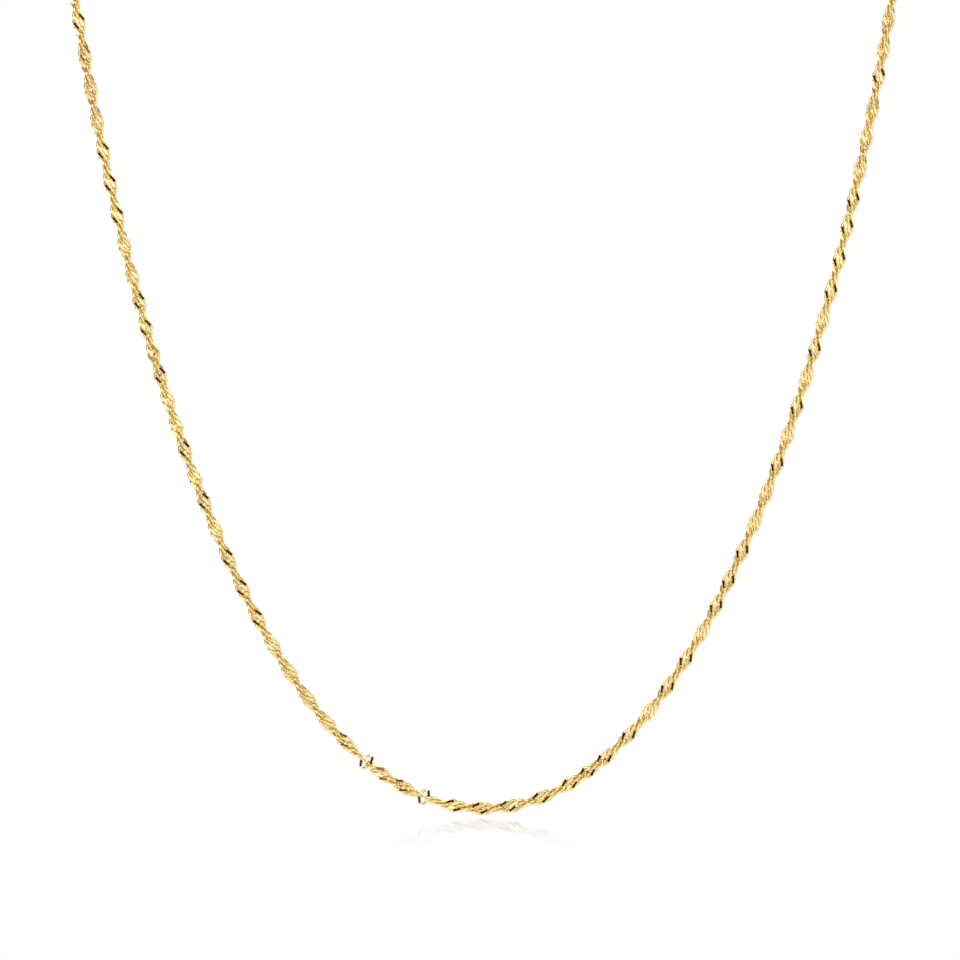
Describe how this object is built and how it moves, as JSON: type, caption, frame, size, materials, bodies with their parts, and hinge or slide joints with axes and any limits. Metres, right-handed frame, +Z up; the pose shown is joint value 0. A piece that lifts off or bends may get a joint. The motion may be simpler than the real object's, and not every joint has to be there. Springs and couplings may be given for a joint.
{
  "type": "twisted chain necklace",
  "caption": "Fine twisted chain necklace of interlocked yellow gold links, closed at the nape with a plain spring ring clasp.",
  "frame": {"origin": "the nape, on the chain's path at the middle of the back of the neck, where the necklace hangs", "axes": "+Z up, -Y towards the front of the chest, +X to the right as seen from the front"},
  "size_m": [0.116, 0.0725, 0.1402],
  "materials": {
    "yellow_gold": "polished, with small flat cuts on the links"
  },
  "bodies": {
    "root": {"chain_left": "yellow_gold", "chain_right": "yellow_gold", "end_ring_left": "yellow_gold", "end_ring_right": "yellow_gold", "clasp": "yellow_gold"}
  },
  "joints": []
}
